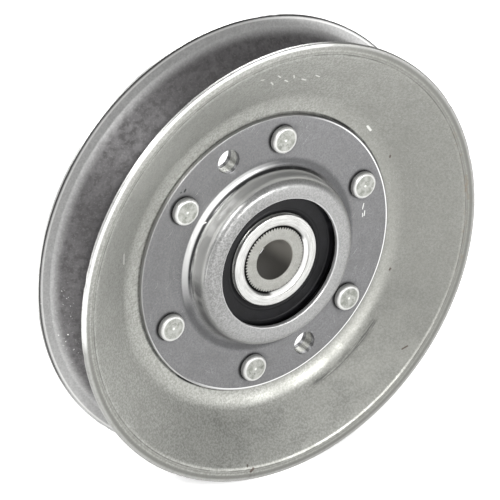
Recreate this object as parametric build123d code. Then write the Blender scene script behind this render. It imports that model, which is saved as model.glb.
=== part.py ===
from build123d import *
import math
import os

# Riveted V-belt idler pulley on a sealed ball bearing, with a knurled bush in the bearing's bore.
# The spin axis is Y, the front faces -Y, and the origin is the middle of the bore. Millimetres.
# Every turned or stamped piece is drawn as a half section: X is the radius, Y is the axial place.

# Rim and flanges
RIM_RADIUS = 57.15
RIM_HALF_WIDTH = 10.55
SHEET = 1.2
LIP_WIDTH = 2.95
LIP_RISE = 0.12
GROOVE_FLOOR_RADIUS = 39.6
GROOVE_FLOOR_BEND = 9.0
LIP_BEND = 1.0
EDGE_ROUND = 0.35

# The flange's own cup, drawn thinner than its web, which seats the bearing's outer ring
SEAT_CLEARANCE = 0.02
SEAT_WALL = 0.8
SEAT_OPENING_RADIUS = 18.0
SEAT_ROOT_BEND = 1.8
SEAT_INNER_CORNER = 0.5
SEAT_OUTER_CORNER = 1.3

# Bearing plates, whose cups nest over the flanges' cups
PLATE_RADIUS = 36.15
PLATE_EDGE_ROUND = 0.3
CUP_OPENING_RADIUS = 16.75
CUP_CLEARANCE = 0.02
CUP_ROOT_BEND = 3.25
CUP_SHOULDER_BEND = 1.24

# Rivets and tooling holes
RIVET_COUNT = 6
RIVET_CIRCLE_RADIUS = 30.15
RIVET_FIRST_ANGLE = 21.7
RIVET_HEAD_RADIUS = 3.4
RIVET_HEAD_HEIGHT = 1.35
RIVET_HEAD_ROUND = 0.7
RIVET_SHANK_RADIUS = 2.4
RIVET_HOLE_CLEARANCE = 0.03
TOOLING_HOLE_RADIUS = 3.05
TOOLING_HOLE_ANGLES = (111.7, 291.7)

# Ball bearing: 17 mm bore, 40 mm outside, 12 mm wide
RING_OUTER_RADIUS = 20.0
RING_BORE_RADIUS = 8.5
RING_HALF_WIDTH = 6.0
RING_CORNER = 1.0
BORE_CORNER = 1.4
RIM_CHAMFER = 0.25
BALL_COUNT = 8
BALL_RADIUS = 3.37
PITCH_RADIUS = 14.25
RACE_RADIUS = 3.5
RACE_CLEARANCE = 0.04
OUTER_LAND_RADIUS = 16.5
INNER_LAND_RADIUS = 12.1
INNER_RIM_RADIUS = 11.9
LAND_HALF_WIDTH = 4.25

# Seals
SEAL_INNER_FACE = 4.3
SEAL_OUTER_FACE = 5.35
SEAL_SEAT_RADIUS = 17.6
SEAL_MOUTH_RADIUS = 17.3
SEAL_GROOVE_RADIUS = 11.5
SEAL_GAP = 0.05
SEAL_LIP_GAP = 0.15
INSERT_THICKNESS = 0.3
INSERT_INNER_RADIUS = 13.2
INSERT_OUTER_RADIUS = 16.6

# Cage
CAGE_THICKNESS = 0.45
CAGE_HALF_BAND = 1.15
POCKET_CLEARANCE = 0.1
CAGE_RIVET_RADIUS = 0.45
CAGE_RIVET_HEAD_RADIUS = 0.8
CAGE_RIVET_HEAD_HEIGHT = 0.3
CAGE_RIVET_CLEARANCE = 0.03

# Bore bush
BUSH_HALF_LENGTH = 5.45
BUSH_BORE_RADIUS = 5.2
BUSH_BORE_CHAMFER = 0.35
BUSH_EDGE_CHAMFER = 0.25
KNURL_TIP_RADIUS = 8.48
KNURL_DEPTH = 0.3
KNURL_TEETH = 64


def ring_point(radius, angle, height=0.0):
    """A point on a circle about the spin axis; the angle runs from +X towards +Z."""
    turn = math.radians(angle)
    return Vector(radius * math.cos(turn), height, radius * math.sin(turn))


def bar(radius, start, end, centre=Vector(0, 0, 0)):
    """A round bar parallel to the spin axis, from start to end along Y."""
    return Pos(centre.X, (start + end) / 2, centre.Z) * Rot(90, 0, 0) * Cylinder(radius, end - start)


def turned(outline):
    """A solid of revolution about Y from a closed half section."""
    return revolve(make_face(outline), axis=Axis.Y, revolution_arc=360)


def polygon(*points):
    return Polyline(*points, close=True)


def stamped(path, side):
    """Pressed sheet: its section is a bent line given the sheet's thickness on one side."""
    return turned(offset(path, amount=SHEET, side=side, closed=True))


def rounded_rims(sheet, radius, size):
    """Break the two edges of a stamping's outer rim or opening, which lie at about one radius."""
    rims = sheet.edges().filter_by(GeomType.CIRCLE).filter_by(lambda edge: abs(edge.radius - radius) < SHEET)
    return fillet(rims, size)


def rear_and_front(rear):
    """The front piece is the rear one mirrored across the mid-plane."""
    return rear, mirror(rear, about=Plane.XZ)


def spaced_points(radius, count, first_angle):
    """Evenly spaced points on a circle about the spin axis."""
    return [ring_point(radius, first_angle + 360 * k / count) for k in range(count)]


def rivet_places():
    return spaced_points(RIVET_CIRCLE_RADIUS, RIVET_COUNT, RIVET_FIRST_ANGLE)


def with_holes(sheet):
    """Punch the rivet holes and the two tooling holes through a stamping."""
    reach = RIM_HALF_WIDTH
    for place in rivet_places():
        sheet -= bar(RIVET_SHANK_RADIUS + RIVET_HOLE_CLEARANCE, -reach, reach, place)
    for angle in TOOLING_HOLE_ANGLES:
        sheet -= bar(TOOLING_HOLE_RADIUS, -reach, reach, ring_point(RIVET_CIRCLE_RADIUS, angle))
    return sheet


def seat_cup():
    """The drawn cup inside a flange's web: wall round the outer ring, and a rim over its face."""
    wall = RING_OUTER_RADIUS + SEAT_CLEARANCE
    floor = RING_HALF_WIDTH + SEAT_CLEARANCE
    web_join = wall + SEAT_WALL + SEAT_ROOT_BEND
    outline = Polyline(
        (web_join, 0),
        (wall, 0),
        (wall, floor),
        (SEAT_OPENING_RADIUS, floor),
        (SEAT_OPENING_RADIUS, floor + SEAT_WALL),
        (wall + SEAT_WALL, floor + SEAT_WALL),
        (wall + SEAT_WALL, SHEET),
        (web_join, SHEET),
        close=True,
    )
    section = make_face(outline)
    bends = {
        (wall, 0): SEAT_ROOT_BEND,
        (wall, floor): SEAT_INNER_CORNER,
        (wall + SEAT_WALL, floor + SEAT_WALL): SEAT_OUTER_CORNER,
        (wall + SEAT_WALL, SHEET): SEAT_ROOT_BEND - SEAT_WALL,
    }
    for (radius, height), bend in bends.items():
        corner = section.vertices().sort_by_distance((radius, height, 0))[0]
        section = fillet(corner, bend)
    return revolve(section, axis=Axis.Y, revolution_arc=360)


def flange():
    """Rear flange: seat cup, flat web, wide bend, cone, and a lip turned to stand across the axis."""
    lip_height = RIM_HALF_WIDTH - SHEET
    web_start = RING_OUTER_RADIUS + SEAT_CLEARANCE + SEAT_WALL + SEAT_ROOT_BEND
    path = FilletPolyline(
        (web_start, 0),
        (GROOVE_FLOOR_RADIUS, 0),
        (RIM_RADIUS - LIP_WIDTH, lip_height - LIP_RISE),
        (RIM_RADIUS, lip_height),
        radius=[GROOVE_FLOOR_BEND + SHEET, LIP_BEND],
    )
    sheet = rounded_rims(stamped(path, Side.LEFT), RIM_RADIUS, EDGE_ROUND)
    return with_holes(sheet + seat_cup())


def bearing_plate():
    """Rear plate: flat annulus, cup over the flange's cup, and the opening round the seal."""
    cup_wall = RING_OUTER_RADIUS + SEAT_CLEARANCE + SEAT_WALL + CUP_CLEARANCE
    cup_floor = RING_HALF_WIDTH + SEAT_CLEARANCE + SEAT_WALL + CUP_CLEARANCE
    path = FilletPolyline(
        (PLATE_RADIUS, SHEET),
        (cup_wall, SHEET),
        (cup_wall, cup_floor),
        (CUP_OPENING_RADIUS, cup_floor),
        radius=[CUP_ROOT_BEND, CUP_SHOULDER_BEND],
    )
    sheet = stamped(path, Side.RIGHT)
    sheet = rounded_rims(sheet, PLATE_RADIUS, PLATE_EDGE_ROUND)
    return with_holes(rounded_rims(sheet, CUP_OPENING_RADIUS, PLATE_EDGE_ROUND))


def rivet(place):
    """Solid rivet through all four sheets, with a broad flat head on both faces."""
    face = 2 * SHEET
    shank = bar(RIVET_SHANK_RADIUS, -face, face, place)
    heads = []
    for side in (-1, 1):
        near, far = sorted((side * face, side * (face + RIVET_HEAD_HEIGHT)))
        head = bar(RIVET_HEAD_RADIUS, near, far, place)
        top = head.edges().sort_by(Axis.Y)[-1 if side > 0 else 0]
        heads.append(fillet(top, RIVET_HEAD_ROUND))
    return shank + heads[0] + heads[1]


def outer_ring():
    blank = turned(polygon(
        (OUTER_LAND_RADIUS, -LAND_HALF_WIDTH),
        (SEAL_SEAT_RADIUS, -LAND_HALF_WIDTH),
        (SEAL_SEAT_RADIUS, -SEAL_OUTER_FACE - SEAL_GAP),
        (SEAL_MOUTH_RADIUS, -SEAL_OUTER_FACE - SEAL_GAP),
        (SEAL_MOUTH_RADIUS, -RING_HALF_WIDTH),
        (RING_OUTER_RADIUS, -RING_HALF_WIDTH),
        (RING_OUTER_RADIUS, RING_HALF_WIDTH),
        (SEAL_MOUTH_RADIUS, RING_HALF_WIDTH),
        (SEAL_MOUTH_RADIUS, SEAL_OUTER_FACE + SEAL_GAP),
        (SEAL_SEAT_RADIUS, SEAL_OUTER_FACE + SEAL_GAP),
        (SEAL_SEAT_RADIUS, LAND_HALF_WIDTH),
        (OUTER_LAND_RADIUS, LAND_HALF_WIDTH),
    ))
    corners = blank.edges().filter_by(GeomType.CIRCLE).filter_by(lambda edge: edge.radius > RING_OUTER_RADIUS - 0.01)
    race = PITCH_RADIUS + BALL_RADIUS + RACE_CLEARANCE - RACE_RADIUS
    return fillet(corners, RING_CORNER) - Rot(90, 0, 0) * Torus(race, RACE_RADIUS)


def inner_ring():
    """Its rim carries a shallow groove that the seal's lip reaches into."""
    groove_start = SEAL_INNER_FACE + INSERT_THICKNESS - SEAL_GAP
    half = [
        (INNER_LAND_RADIUS, LAND_HALF_WIDTH - SEAL_GAP),
        (INNER_RIM_RADIUS, LAND_HALF_WIDTH - SEAL_GAP),
        (INNER_RIM_RADIUS, groove_start),
        (SEAL_GROOVE_RADIUS, groove_start),
        (SEAL_GROOVE_RADIUS, SEAL_OUTER_FACE),
        (INNER_RIM_RADIUS, SEAL_OUTER_FACE),
        (INNER_RIM_RADIUS, RING_HALF_WIDTH - RIM_CHAMFER),
        (INNER_RIM_RADIUS - RIM_CHAMFER, RING_HALF_WIDTH),
        (RING_BORE_RADIUS, RING_HALF_WIDTH),
    ]
    lower = [(radius, -height) for radius, height in reversed(half)]
    blank = turned(polygon(*half, *lower))
    mouths = blank.edges().filter_by(GeomType.CIRCLE).filter_by(lambda edge: edge.radius < RING_BORE_RADIUS + 0.01)
    race = PITCH_RADIUS - BALL_RADIUS - RACE_CLEARANCE + RACE_RADIUS
    return fillet(mouths, BORE_CORNER) - Rot(90, 0, 0) * Torus(race, RACE_RADIUS)


def seal_rubber():
    """Moulded ring: a bead in the outer ring's seat, a flat face, and a lip near the inner ring."""
    web = SEAL_INNER_FACE + INSERT_THICKNESS
    lip_radius = SEAL_GROOVE_RADIUS + SEAL_LIP_GAP
    lip_face = web + INSERT_THICKNESS
    return turned(polygon(
        (lip_radius, web),
        (INSERT_INNER_RADIUS, web),
        (INSERT_OUTER_RADIUS, web),
        (INSERT_OUTER_RADIUS, SEAL_INNER_FACE),
        (SEAL_SEAT_RADIUS - SEAL_GAP, SEAL_INNER_FACE),
        (SEAL_SEAT_RADIUS - SEAL_GAP, SEAL_OUTER_FACE),
        (INSERT_INNER_RADIUS, SEAL_OUTER_FACE),
        (INNER_RIM_RADIUS + SEAL_LIP_GAP, lip_face),
        (lip_radius, lip_face),
    ))


def seal_insert():
    """Steel washer that stiffens the seal, on its inward face."""
    disc = bar(INSERT_OUTER_RADIUS, SEAL_INNER_FACE, SEAL_INNER_FACE + INSERT_THICKNESS)
    return disc - bar(INSERT_INNER_RADIUS, 0, RING_HALF_WIDTH)


def ball_places():
    return spaced_points(PITCH_RADIUS, BALL_COUNT, 0)


def cage_rivet_places():
    """The cage's rivets sit midway between the balls."""
    return spaced_points(PITCH_RADIUS, BALL_COUNT, 180 / BALL_COUNT)


def cage_half():
    """Rear half: a thin ribbon that is flat between the balls and bulges round each of them."""
    pocket = BALL_RADIUS + POCKET_CLEARANCE
    reach = pocket + CAGE_THICKNESS
    band = bar(PITCH_RADIUS + CAGE_HALF_BAND, 0, reach + 1) - bar(PITCH_RADIUS - CAGE_HALF_BAND, -1, reach + 2)
    ribbon = bar(PITCH_RADIUS + CAGE_HALF_BAND, 0, CAGE_THICKNESS)
    for place in ball_places():
        ribbon += Pos(*place) * Sphere(reach)
    for place in ball_places():
        ribbon -= Pos(*place) * Sphere(pocket)
    for place in cage_rivet_places():
        ribbon -= bar(CAGE_RIVET_RADIUS + CAGE_RIVET_CLEARANCE, -1, reach, place)
    return ribbon & band


def cage_rivet(place):
    shank = bar(CAGE_RIVET_RADIUS, -CAGE_THICKNESS, CAGE_THICKNESS, place)
    top = CAGE_THICKNESS + CAGE_RIVET_HEAD_HEIGHT
    rear_head = bar(CAGE_RIVET_HEAD_RADIUS, CAGE_THICKNESS, top, place)
    front_head = bar(CAGE_RIVET_HEAD_RADIUS, -top, -CAGE_THICKNESS, place)
    return shank + rear_head + front_head


def bush():
    """Reducer bush: straight V knurl outside, chamfered bore inside."""
    tooth = 360 / KNURL_TEETH
    outline = []
    for k in range(KNURL_TEETH):
        tip = ring_point(KNURL_TIP_RADIUS, k * tooth)
        valley = ring_point(KNURL_TIP_RADIUS - KNURL_DEPTH, (k + 0.5) * tooth)
        outline += [(tip.X, tip.Z), (valley.X, valley.Z)]
    knurled = Rot(90, 0, 0) * extrude(make_face(polygon(*outline)), BUSH_HALF_LENGTH, both=True)
    edge_radius = KNURL_TIP_RADIUS - BUSH_EDGE_CHAMFER
    mouth_radius = BUSH_BORE_RADIUS + BUSH_BORE_CHAMFER
    envelope = turned(polygon(
        (BUSH_BORE_RADIUS, -BUSH_HALF_LENGTH + BUSH_BORE_CHAMFER),
        (mouth_radius, -BUSH_HALF_LENGTH),
        (edge_radius, -BUSH_HALF_LENGTH),
        (KNURL_TIP_RADIUS, -BUSH_HALF_LENGTH + BUSH_EDGE_CHAMFER),
        (KNURL_TIP_RADIUS, BUSH_HALF_LENGTH - BUSH_EDGE_CHAMFER),
        (edge_radius, BUSH_HALF_LENGTH),
        (mouth_radius, BUSH_HALF_LENGTH),
        (BUSH_BORE_RADIUS, BUSH_HALF_LENGTH - BUSH_BORE_CHAMFER),
    ))
    return knurled & envelope


def all_pieces():
    """Every sub-part by its node name."""
    pieces = {}
    pieces["rear_flange"], pieces["front_flange"] = rear_and_front(flange())
    pieces["rear_bearing_plate"], pieces["front_bearing_plate"] = rear_and_front(bearing_plate())
    for number, place in enumerate(rivet_places(), start=1):
        pieces[f"rivet_{number}"] = rivet(place)
    pieces["bearing_outer_ring"] = outer_ring()
    pieces["bearing_inner_ring"] = inner_ring()
    pieces["rear_seal_rubber"], pieces["front_seal_rubber"] = rear_and_front(seal_rubber())
    pieces["rear_seal_insert"], pieces["front_seal_insert"] = rear_and_front(seal_insert())
    for number, place in enumerate(ball_places(), start=1):
        pieces[f"ball_{number}"] = Pos(*place) * Sphere(BALL_RADIUS)
    pieces["cage_rear"], pieces["cage_front"] = rear_and_front(cage_half())
    pieces["cage_rivets"] = Compound(children=[cage_rivet(place) for place in cage_rivet_places()])
    pieces["bore_bush"] = bush()
    return pieces


os.makedirs("parts", exist_ok=True)
for name, piece in all_pieces().items():
    export_step(piece, f"parts/{name}.step")
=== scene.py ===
# %% [markdown]
# # A riveted belt idler pulley
#
# This idler carries a V-belt on its outer groove and takes up the slack. It is almost all sheet steel:
# two dished flanges are pressed from 1.2 mm strip, laid back to back, and held by six rivets. A plate on
# each side is drawn into a cup round a sealed ball bearing. A knurled bush reduces the bearing's bore to
# the size of the bolt. Every length below is in metres, in the same frame as the exact model.

# %%
import math
import random

import bmesh
import bpy
from mathutils import Matrix, Vector, noise


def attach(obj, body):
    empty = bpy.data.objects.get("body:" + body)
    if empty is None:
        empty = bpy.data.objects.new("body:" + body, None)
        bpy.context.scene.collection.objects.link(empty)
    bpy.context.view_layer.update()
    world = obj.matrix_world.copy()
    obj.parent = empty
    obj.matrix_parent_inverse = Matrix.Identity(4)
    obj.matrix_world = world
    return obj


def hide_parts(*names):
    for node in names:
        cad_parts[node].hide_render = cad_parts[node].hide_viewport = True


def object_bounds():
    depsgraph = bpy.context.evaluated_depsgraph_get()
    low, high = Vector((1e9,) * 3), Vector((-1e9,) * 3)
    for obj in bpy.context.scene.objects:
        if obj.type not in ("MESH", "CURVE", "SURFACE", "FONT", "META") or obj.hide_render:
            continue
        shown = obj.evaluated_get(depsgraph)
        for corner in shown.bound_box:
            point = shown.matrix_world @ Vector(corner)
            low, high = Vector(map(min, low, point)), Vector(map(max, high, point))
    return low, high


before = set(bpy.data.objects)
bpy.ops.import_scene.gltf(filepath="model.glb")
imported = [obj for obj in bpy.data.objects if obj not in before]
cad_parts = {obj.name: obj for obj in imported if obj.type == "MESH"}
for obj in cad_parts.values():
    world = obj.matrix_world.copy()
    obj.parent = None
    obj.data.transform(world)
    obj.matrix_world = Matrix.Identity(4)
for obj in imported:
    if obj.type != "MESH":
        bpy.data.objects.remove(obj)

exact_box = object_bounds()
print("exact model spans", [round(v * 1000, 2) for v in exact_box[1] - exact_box[0]], "mm")

# %% [markdown]
# ## Sizes that the shop drawing would give
#
# The pulley's axis lies along Y. Heights are measured from the plane where the two flanges meet. The same
# few numbers drive all the pressed pieces, so the stack of sheets stays tight through every piece.

# %%
MM = 0.001
SHEET = 1.2 * MM
RIM_RADIUS = 57.13 * MM
RIM_FACE = 10.53 * MM
LIP_START = 54.2 * MM
LIP_RISE = 0.12 * MM
GROOVE_FLOOR = 39.6 * MM
RING_RADIUS = 20.0 * MM
RING_FACE = 6.0 * MM
FIT_GAP = 0.02 * MM
SEAT_WALL = 0.8 * MM
PLATE_RADIUS = 36.15 * MM
CUP_OPENING = 16.75 * MM
RIVET_CIRCLE = 30.15 * MM
RIVET_ANGLES = [21.7 + 60 * k for k in range(6)]
TOOLING_ANGLES = [111.7, 291.7]
RIVET_HOLE = 2.43 * MM
TOOLING_HOLE = 3.05 * MM
RIVET_HEAD = 3.44 * MM
RIVET_SHANK = 2.4 * MM
RIVET_RISE = 1.35 * MM
KNURL_TEETH = 64
print("groove is", round((RIM_FACE - SHEET) * 2000, 1), "mm wide at its mouth")

# %% [markdown]
# ## Drawing a bent sheet's section
#
# A pressed sheet has the same thickness everywhere, so its section is one bent line and a second line
# running beside it. Going round a bend, the outer line has the larger radius, by one thickness. The
# helper shifts the line sideways at each corner, along the corner's mitre.

# %%
def shifted(run, thickness):
    """The run of (radius, height, bend) corners, moved to its left by the thickness."""
    points = [Vector((r, y)) for r, y, bend in run]
    legs = [(b - a).normalized() for a, b in zip(points, points[1:])]
    result = []
    for k, (point, (r, y, bend)) in enumerate(zip(points, run)):
        before, after = legs[max(k - 1, 0)], legs[min(k, len(legs) - 1)]
        left = Vector((-before.y - after.y, before.x + after.x))
        mitre = left * (2 * thickness / left.length_squared)
        turn = before.x * after.y - before.y * after.x
        new_bend = bend - thickness if turn > 1e-6 else bend + thickness
        result.append((point.x + mitre.x, point.y + mitre.y, new_bend if bend else 0))
    return result


def sheet_outline(run, thickness, edge_round=0.0):
    """Closed outline of a bent sheet whose two cut edges may be eased."""
    other = shifted(run, thickness)
    outline = list(run) + other[::-1]
    ends = (0, len(run) - 1, len(run), len(outline) - 1)
    return [(r, y, edge_round if k in ends else bend) for k, (r, y, bend) in enumerate(outline)]


print("a 3 mm bend in this sheet grows to", round((3 * MM + SHEET) / MM, 1), "mm outside")

# %% [markdown]
# ## Spinning a section into a ring
#
# Each corner is bevelled at its vertex to make the bend, and long straight runs are divided so the surface
# can carry small dents. The outline is spun an eighth of a turn about the pulley's axis, and three
# doublings close the circle, which is much quicker than one long spin.

# %%
def spun(outline, steps, arc_steps=6, spacing=None, solid_core=False):
    """A ring, or with solid_core a pin, from a closed outline of (radius, height, bend) corners."""
    bm = bmesh.new()
    corners = [bm.verts.new((r, y, 0)) for r, y, bend in outline]
    section = bm.faces.new(corners)
    points = [v.co.copy() for v in corners]
    for k, (vert, (r, y, bend)) in enumerate(zip(corners, outline)):
        if not bend:
            continue
        back, ahead = points[k - 1] - points[k], points[(k + 1) % len(points)] - points[k]
        reach = bend * math.tan((math.pi - back.angle(ahead)) / 2)
        bmesh.ops.bevel(bm, geom=[vert], offset=reach, offset_type="OFFSET", segments=arc_steps,
                        profile=0.5, affect="VERTICES", material=-1)
    bmesh.ops.delete(bm, geom=bm.faces[:], context="FACES_ONLY")
    if solid_core:
        on_axis = [e for e in bm.edges if all(abs(v.co.x) < 1e-7 for v in e.verts)]
        bmesh.ops.delete(bm, geom=on_axis, context="EDGES")
    if spacing:
        for edge in bm.edges[:]:
            cuts = int(edge.calc_length() / spacing)
            if cuts:
                bmesh.ops.subdivide_edges(bm, edges=[edge], cuts=cuts)
    bmesh.ops.spin(bm, geom=bm.verts[:] + bm.edges[:], cent=(0, 0, 0), axis=(0, 1, 0),
                   angle=math.tau / 8, steps=steps // 8, use_merge=False)
    bmesh.ops.delete(bm, geom=[e for e in bm.edges if not e.link_faces], context="EDGES")
    for doubling in (8, 4, 2):
        copy = bmesh.ops.duplicate(bm, geom=bm.verts[:] + bm.edges[:] + bm.faces[:])["geom"]
        moved = [part for part in copy if isinstance(part, bmesh.types.BMVert)]
        turn = Matrix.Rotation(-math.tau / doubling, 3, "Y")
        bmesh.ops.rotate(bm, verts=moved, cent=(0, 0, 0), matrix=turn)
    bmesh.ops.remove_doubles(bm, verts=bm.verts, dist=1e-7)
    bmesh.ops.recalc_face_normals(bm, faces=bm.faces)
    return bm


def turned_over(bm):
    """The front piece is the rear one seen in a mirror between the flanges."""
    bmesh.ops.scale(bm, vec=(1, -1, 1), verts=bm.verts)
    bmesh.ops.recalc_face_normals(bm, faces=bm.faces)


def spot(radius, angle, height=0.0):
    """A point on a circle round the axis; the angle runs from +X towards +Z."""
    turn = math.radians(angle)
    return Vector((radius * math.cos(turn), height, radius * math.sin(turn)))


def as_piece(bm, name, body, nodes, materials, sharp=32):
    """Put a finished mesh in the scene, on its moving body, in place of its exact nodes."""
    mesh = bpy.data.meshes.new(name)
    bm.to_mesh(mesh)
    bm.free()
    mesh.shade_smooth()
    mesh.set_sharp_from_angle(angle=math.radians(sharp))
    for material in materials:
        mesh.materials.append(material)
    piece = bpy.data.objects.new(name, mesh)
    bpy.context.scene.collection.objects.link(piece)
    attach(piece, body)
    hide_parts(*nodes)
    print(name, len(mesh.polygons), "faces")


trial = spun([(0.01, 0, 0.001), (0.02, 0, 0.001), (0.02, 0.004, 0.001), (0.01, 0.004, 0.001)], 32)
print("a trial ring is closed:", all(e.is_manifold for e in trial.edges))
trial.free()

# %% [markdown]
# ## Punching holes
#
# The rivet holes and the two tooling holes go through the stack in one stroke, so all four sheets share
# the same places. The cutter is a set of round bars; afterwards the tooling holes' edges are eased a
# little, because a punch rolls the metal over as it enters.

# %%
def punched(bm, ease=0.0):
    """The mesh with the rivet and tooling holes cut through it, parallel to the axis."""
    cutter = bmesh.new()
    holes = [(a, RIVET_HOLE, 32) for a in RIVET_ANGLES] + [(a, TOOLING_HOLE, 64) for a in TOOLING_ANGLES]
    for angle, radius, sides in holes:
        place = Matrix.Translation(spot(RIVET_CIRCLE, angle)) @ Matrix.Rotation(math.pi / 2, 4, "X")
        bmesh.ops.create_cone(cutter, cap_ends=True, segments=sides, radius1=radius, radius2=radius,
                              depth=40 * MM, matrix=place)
    meshes = []
    for part in (bm, cutter):
        mesh = bpy.data.meshes.new("blank")
        part.to_mesh(mesh)
        part.free()
        meshes.append(mesh)
    blank, tool = [bpy.data.objects.new("blank", m) for m in meshes]
    for thing in (blank, tool):
        bpy.context.scene.collection.objects.link(thing)
    cut = blank.modifiers.new("punch", "BOOLEAN")
    cut.operation = "DIFFERENCE"
    cut.solver = "EXACT"
    cut.object = tool
    result = bmesh.new()
    result.from_object(blank, bpy.context.evaluated_depsgraph_get())
    for thing in (blank, tool):
        bpy.data.objects.remove(thing)
    for mesh in meshes:
        bpy.data.meshes.remove(mesh)
    bmesh.ops.remove_doubles(result, verts=result.verts, dist=1e-7)
    if ease:
        mouths = [e for e in result.edges if on_mouth(e)]
        bmesh.ops.bevel(result, geom=mouths, offset=ease, offset_type="OFFSET", segments=3, profile=0.5,
                        affect="EDGES", material=-1)
    bmesh.ops.recalc_face_normals(result, faces=result.faces)
    return result


def on_mouth(edge):
    """True for an edge that lies on the rim of a tooling hole."""
    level = abs(edge.verts[0].co.y - edge.verts[1].co.y) < 1e-7
    for angle in TOOLING_ANGLES:
        centre = spot(RIVET_CIRCLE, angle)
        away = [math.hypot(v.co.x - centre.x, v.co.z - centre.z) for v in edge.verts]
        near = [abs(distance - TOOLING_HOLE) < 2e-6 for distance in away]
        if level and all(near) and edge.calc_length() < 0.6 * MM:
            return True
    return False


print("holes to punch:", len(RIVET_ANGLES) + len(TOOLING_ANGLES))

# %% [markdown]
# ## A workbench for finishes
#
# All the finishes are mixed from the same few ingredients: cloudy noise for plating and handling, streaks
# that run round the axis for wear by the belt, and scratches as very long thin specks. Bands at one radius
# and directions round the axis say where each may be. All are read from the object's own position, so a
# finish turns with its piece.

# %%
def tone(red, green, blue):
    """A colour named by its screen values, as light."""
    return [((c / 255 + 0.055) / 1.055) ** 2.4 if c > 10 else c / 3295 for c in (red, green, blue)] + [1]


class Finish:
    """One material, with short ways to add what makes it look real."""

    def __init__(self, name, metallic, roughness):
        self.material = bpy.data.materials.new(name)
        self.material.use_nodes = True
        self.nodes = self.material.node_tree.nodes
        self.links = self.material.node_tree.links
        self.shader = self.nodes["Principled BSDF"]
        self.shader.inputs["Metallic"].default_value = metallic
        self.shader.inputs["Roughness"].default_value = roughness
        self.place = self.nodes.new("ShaderNodeTexCoord").outputs["Object"]
        flat = self.vector("MULTIPLY", self.place, (1, 0, 1)).outputs[0]
        self.radius = self.vector("LENGTH", flat).outputs["Value"]
        self.around = self.vector("NORMALIZE", flat).outputs[0]
        self.flat = flat
        self.parts = self.fill(self.nodes.new("ShaderNodeSeparateXYZ"), {0: self.place}).outputs
        self.front = self.ramp(self.parts[1], -0.2 * MM, 0.2 * MM, 1.0, 0.0)

    def fill(self, node, values):
        for key, value in values.items():
            if isinstance(value, bpy.types.NodeSocket):
                self.links.new(value, node.inputs[key])
            else:
                node.inputs[key].default_value = value
        return node

    def vector(self, operation, first, second=None):
        node = self.nodes.new("ShaderNodeVectorMath")
        node.operation = operation
        return self.fill(node, {0: first} if second is None else {0: first, 1: second})

    def maths(self, operation, first, second=0.0):
        node = self.nodes.new("ShaderNodeMath")
        node.operation = operation
        return self.fill(node, {0: first, 1: second}).outputs[0]

    def cloud(self, size, detail=4.0, place=None, seed=0.0):
        """Cloudy noise from 0 to 1 whose patches are about this size."""
        node = self.nodes.new("ShaderNodeTexNoise")
        start = self.vector("ADD", place or self.place, (seed, seed * 0.7, -seed)).outputs[0]
        self.fill(node, {"Vector": start, "Scale": 1 / size, "Detail": detail, "Roughness": 0.6})
        return node.outputs[0]

    def polar(self, turns, rings):
        """A place that runs round the axis and outward, for streaks without a seam."""
        node = self.nodes.new("ShaderNodeCombineXYZ")
        out = self.maths("MULTIPLY", self.radius, rings)
        self.fill(node, {1: out})
        return self.vector("ADD", self.vector("MULTIPLY", self.around, (turns, turns, turns)).outputs[0],
                           node.outputs[0]).outputs[0]

    def scratch(self, angle, length, width, level, seed):
        """Thin straight specks lying at one angle across the face."""
        turn = self.nodes.new("ShaderNodeVectorRotate")
        turn.rotation_type = "Y_AXIS"
        self.fill(turn, {"Vector": self.place, "Angle": math.radians(angle)})
        thin = self.vector("MULTIPLY", turn.outputs[0], (1 / length, 1 / width, 1 / width)).outputs[0]
        return self.ramp(self.cloud(1.0, 2.0, thin, seed), level, level + 0.04)

    def ramp(self, value, low, high, to_low=0.0, to_high=1.0):
        node = self.nodes.new("ShaderNodeMapRange")
        node.interpolation_type = "SMOOTHSTEP"
        self.fill(node, {"Value": value, "From Min": low, "From Max": high})
        self.fill(node, {"To Min": to_low, "To Max": to_high})
        return node.outputs[0]

    def band(self, centre, half, soft):
        """1 on a ring of this radius, falling to 0 over the soft width."""
        away = self.maths("ABSOLUTE", self.maths("SUBTRACT", self.radius, centre))
        return self.ramp(away, half, half + soft, 1.0, 0.0)

    def facing(self, angle, spread):
        """1 in one direction from the axis, falling to 0 over the spread in degrees."""
        aim = spot(1, angle)
        cosine = self.vector("DOT_PRODUCT", self.around, aim).outputs["Value"]
        return self.ramp(cosine, math.cos(math.radians(spread)), 1.0)

    def stroke(self, start, end, width):
        """A straight scratch on the front, from one point to another, seen along the axis."""
        run = end - start
        offset = self.vector("SUBTRACT", self.flat, start).outputs[0]
        share = self.vector("DOT_PRODUCT", offset, run / run.length_squared).outputs["Value"]
        along = self.nodes.new("ShaderNodeClamp")
        self.fill(along, {"Value": share})
        nearest = self.nodes.new("ShaderNodeVectorMath")
        nearest.operation = "SCALE"
        self.fill(nearest, {0: run, "Scale": along.outputs[0]})
        away = self.vector("DISTANCE", offset, nearest.outputs[0]).outputs["Value"]
        return self.both(self.ramp(away, width * 0.4, width, 1.0, 0.0), self.front)

    def marks(self, under, colour, strength, places):
        """Short scratches, each given as radius, angle, radius, angle and width."""
        for radius, angle, end_radius, end_angle, width in places:
            line = self.stroke(spot(radius * MM, angle), spot(end_radius * MM, end_angle), width * MM)
            under = self.blend(self.both(line, strength), under, colour)
        return under

    def from_rivet(self, aside=Vector((0, 0, 0))):
        """Distance from the middle of the nearest rivet, or from a point aside of it, seen along the axis."""
        flat = self.vector("MULTIPLY", self.place, (1, 0, 1)).outputs[0]
        nearest = None
        for angle in RIVET_ANGLES:
            away = self.vector("DISTANCE", flat, spot(RIVET_CIRCLE, angle) + aside).outputs["Value"]
            nearest = away if nearest is None else self.maths("MINIMUM", nearest, away)
        return nearest

    def both(self, first, second):
        return self.maths("MULTIPLY", first, second)

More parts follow.
